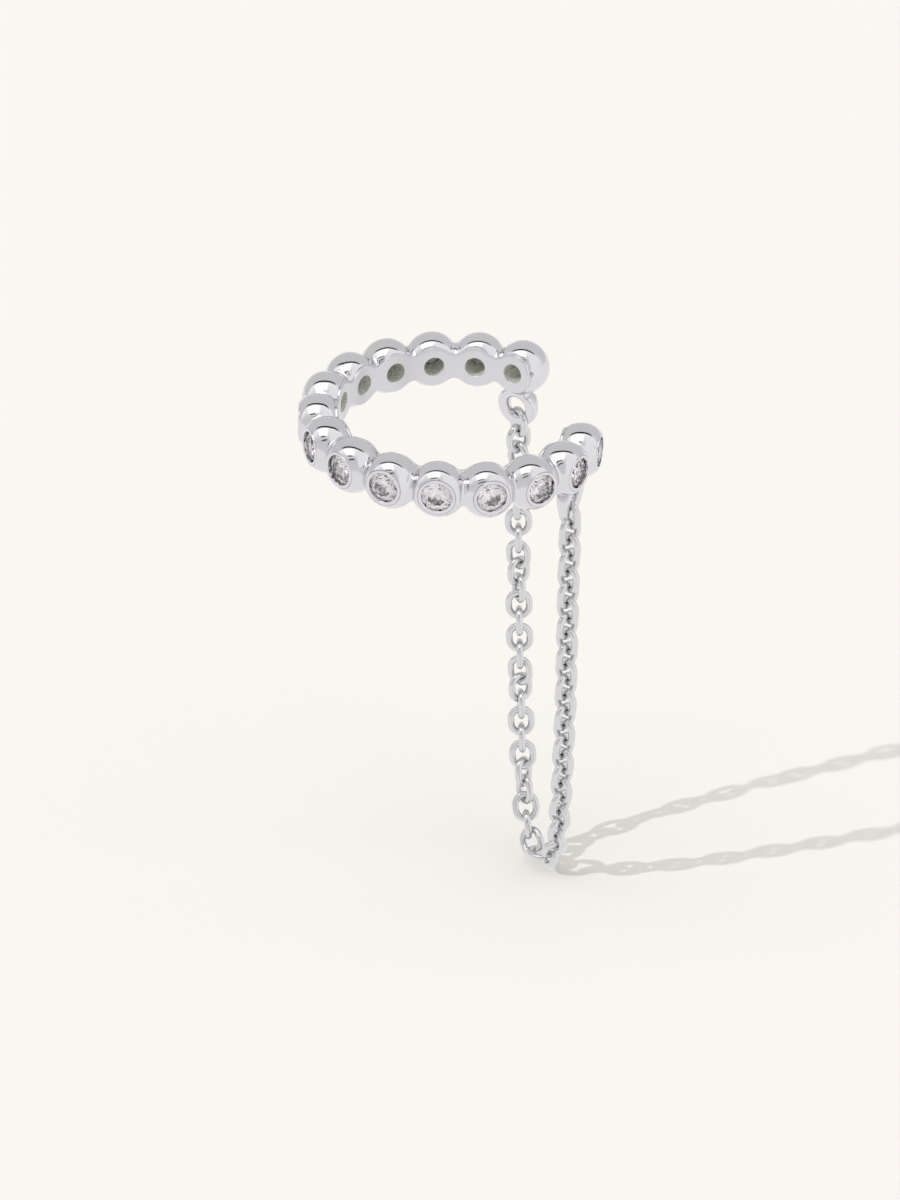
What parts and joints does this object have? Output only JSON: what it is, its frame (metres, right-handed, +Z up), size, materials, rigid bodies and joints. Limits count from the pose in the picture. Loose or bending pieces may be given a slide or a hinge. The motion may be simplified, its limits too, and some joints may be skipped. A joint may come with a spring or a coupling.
{
  "type": "ear cuff",
  "caption": "Open ear cuff ring of round bezel settings with clear brilliant stones, and a fine cable chain hanging in a long loop from two eyelets under the band.",
  "frame": {"origin": "middle of the ring's bore, where the edge of the ear sits", "axes": "+Z up, the chain hangs along -Z; the ring lies almost flat in XY and its open mouth faces +X, turned 22 degrees towards +Y"},
  "size_m": [0.0142, 0.0142, 0.0261],
  "materials": {
    "polished_silver": "polished white silver plating",
    "chain_silver": "polished white silver plating on fine wire links",
    "clear_stone": "polished facets"
  },
  "bodies": {
    "root": {"cuff_band": "polished_silver", "chain": "chain_silver", "stone_01": "clear_stone", "stone_02": "clear_stone", "stone_03": "clear_stone", "stone_04": "clear_stone", "stone_05": "clear_stone", "stone_06": "clear_stone", "stone_07": "clear_stone", "stone_08": "clear_stone", "stone_09": "clear_stone", "stone_10": "clear_stone", "stone_11": "clear_stone", "stone_12": "clear_stone", "stone_13": "clear_stone", "stone_14": "clear_stone", "stone_15": "clear_stone"}
  },
  "joints": []
}
